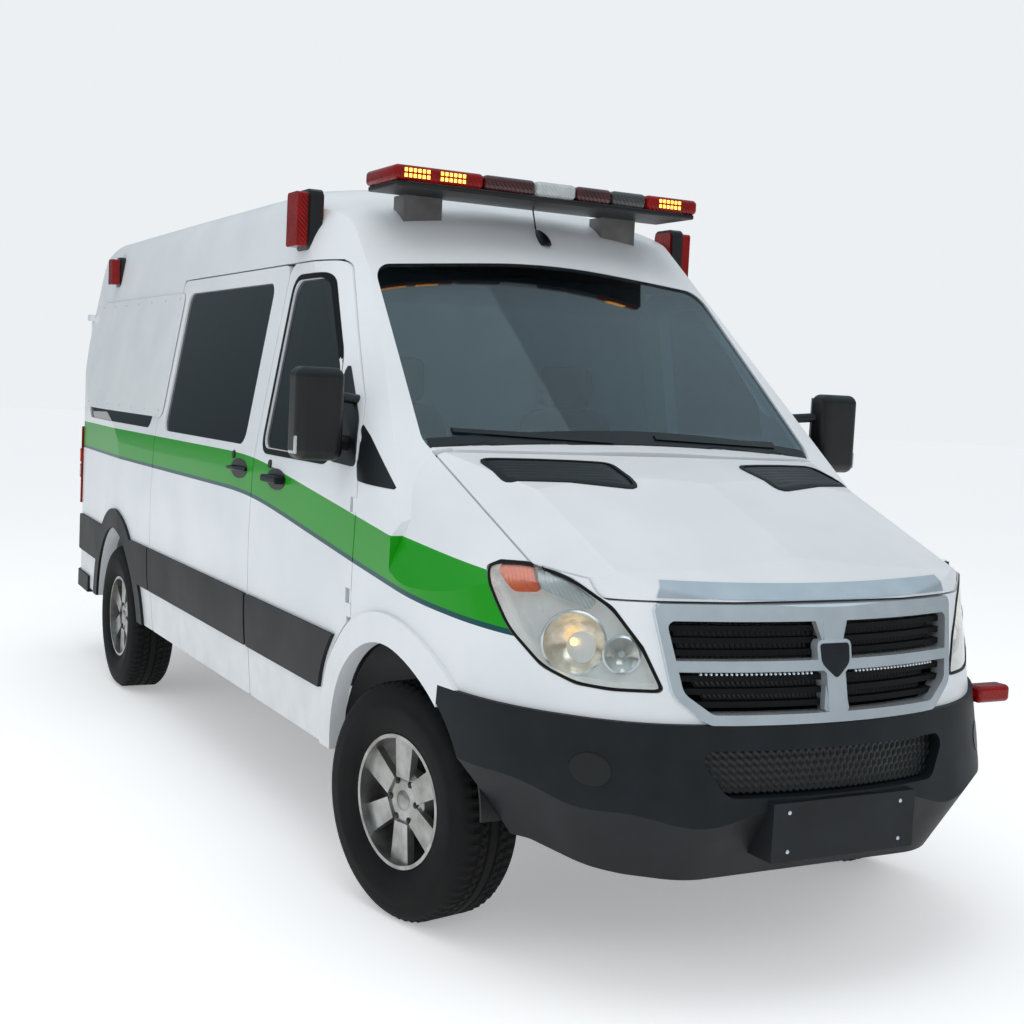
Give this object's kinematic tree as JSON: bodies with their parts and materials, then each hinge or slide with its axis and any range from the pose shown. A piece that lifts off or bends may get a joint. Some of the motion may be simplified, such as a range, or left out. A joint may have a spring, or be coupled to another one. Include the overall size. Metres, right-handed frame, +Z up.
{
  "type": "ambulance van",
  "caption": "Panel van fitted out as an ambulance: hinged hood, cab doors and rear doors, steered front wheels, roof light bar and side warning lamps.",
  "frame": {"origin": "on the ground below the middle of the overall length and width, tyres on z = 0", "axes": "+X forward, +Y to the vehicle's left, +Z up"},
  "size_m": [5.89, 2.336, 2.4888],
  "materials": {
    "white_paint": "gloss white enamel",
    "clear_glass": "tinted laminated glass",
    "dark_glass": "dark tinted glass",
    "lamp_lens": "clear moulded lens",
    "red_lens": "red moulded lens",
    "charcoal_plastic": "grained charcoal plastic",
    "bright_trim": "bright plated trim",
    "grey_plastic": "grained grey plastic",
    "floor_paint": "grey painted sheet",
    "chassis_paint": "black chassis paint",
    "cast_metal": "cast",
    "exhaust_steel": "dull steel",
    "tyre_rubber": "black rubber",
    "silver_alloy": "satin silver",
    "seat_fabric": "dark woven cloth"
  },
  "bodies": {
    "body": {"sliding_door": "white_paint", "side_panel_right": "white_paint", "side_panel_left": "white_paint", "roof": "white_paint", "windshield_frame": "white_paint", "fender_left": "white_paint", "fender_right": "white_paint", "front_panel": "white_paint", "windshield": "clear_glass", "side_glass": "dark_glass", "headlamps": "lamp_lens", "tail_lamps": "red_lens", "warning_lamps": "red_lens", "light_bar": "red_lens", "front_bumper": "charcoal_plastic", "rear_bumper": "charcoal_plastic", "side_mouldings": "charcoal_plastic", "wipers": "charcoal_plastic", "grille_slats": "charcoal_plastic", "wheel_liners": "charcoal_plastic", "grille_surround": "bright_trim", "light_bar_base": "grey_plastic", "dashboard": "grey_plastic", "partition": "grey_plastic", "floor": "floor_paint", "frame_rails": "chassis_paint", "rear_axle": "chassis_paint", "fuel_tank": "chassis_paint", "engine": "cast_metal", "exhaust": "exhaust_steel", "seats": "seat_fabric"},
    "hood": {"hood": "white_paint"},
    "steering_wheel": {"steering_wheel": "grey_plastic"},
    "front_door_left": {"front_door_left": "white_paint", "front_door_glass_left": "dark_glass", "front_door_trim_left": "charcoal_plastic", "door_mirror_left": "charcoal_plastic"},
    "rear_door_left": {"rear_door_left": "white_paint", "rear_door_glass_left": "dark_glass"},
    "knuckle_left": {"knuckle_left": "cast_metal"},
    "front_wheel_left": {"front_tyre_left": "tyre_rubber", "front_rim_left": "silver_alloy"},
    "rear_wheel_left": {"rear_tyre_left": "tyre_rubber", "rear_rim_left": "silver_alloy"},
    "front_door_right": {"front_door_right": "white_paint", "front_door_glass_right": "dark_glass", "front_door_trim_right": "charcoal_plastic", "door_mirror_right": "charcoal_plastic"},
    "rear_door_right": {"rear_door_right": "white_paint", "rear_door_glass_right": "dark_glass"},
    "knuckle_right": {"knuckle_right": "cast_metal"},
    "front_wheel_right": {"front_tyre_right": "tyre_rubber", "front_rim_right": "silver_alloy"},
    "rear_wheel_right": {"rear_tyre_right": "tyre_rubber", "rear_rim_right": "silver_alloy"}
  },
  "joints": [
    {"name": "steer_left", "type": "hinge", "parent": "body", "child": "knuckle_left", "pos_m": [1.935, 0.79, 0.372], "axis": [0, 0, 1], "range_deg": [-50, 26]},
    {"name": "front_wheel_left_spin", "type": "hinge", "parent": "knuckle_left", "child": "front_wheel_left", "pos_m": [1.92086, 0.85651, 0.372], "axis": [-0.2079, 0.9781, 0], "continuous": true},
    {"name": "rear_wheel_left_spin", "type": "hinge", "parent": "body", "child": "rear_wheel_left", "pos_m": [-1.73, 0.858, 0.372], "axis": [0, 1, 0], "continuous": true},
    {"name": "front_door_left_swing", "type": "hinge", "parent": "body", "child": "front_door_left", "pos_m": [1.605, 0.978, 1.115], "axis": [0, 0, -1], "range_deg": [0, 70]},
    {"name": "rear_door_left_swing", "type": "hinge", "parent": "body", "child": "rear_door_left", "pos_m": [-2.927, 0.872, 1.3], "axis": [0, 0, -1], "range_deg": [0, 180]},
    {"name": "steer_right", "type": "hinge", "parent": "body", "child": "knuckle_right", "pos_m": [1.935, -0.79, 0.372], "axis": [0, 0, 1], "range_deg": [-50, 26]},
    {"name": "front_wheel_right_spin", "type": "hinge", "parent": "knuckle_right", "child": "front_wheel_right", "pos_m": [1.94914, -0.85651, 0.372], "axis": [-0.2079, 0.9781, 0], "continuous": true},
    {"name": "rear_wheel_right_spin", "type": "hinge", "parent": "body", "child": "rear_wheel_right", "pos_m": [-1.73, -0.858, 0.372], "axis": [0, 1, 0], "continuous": true},
    {"name": "front_door_right_swing", "type": "hinge", "parent": "body", "child": "front_door_right", "pos_m": [1.605, -0.978, 1.115], "axis": [0, 0, 1], "range_deg": [0, 70]},
    {"name": "rear_door_right_swing", "type": "hinge", "parent": "body", "child": "rear_door_right", "pos_m": [-2.927, -0.872, 1.3], "axis": [0, 0, 1], "range_deg": [0, 180]},
    {"name": "hood_lift", "type": "hinge", "parent": "body", "child": "hood", "pos_m": [1.77, 0, 1.435], "axis": [0, -1, 0], "range_deg": [0, 60]},
    {"name": "steering_wheel_turn", "type": "hinge", "parent": "body", "child": "steering_wheel", "pos_m": [1.085, 0.4, 1.26], "axis": [-0.8387, 0, 0.5446], "range_deg": [-700, 364]}
  ],
  "couplings": [
    {"joint": "steer_right", "follows": "steer_left", "ratio": 1},
    {"joint": "steering_wheel_turn", "follows": "steer_left", "ratio": 14}
  ]
}
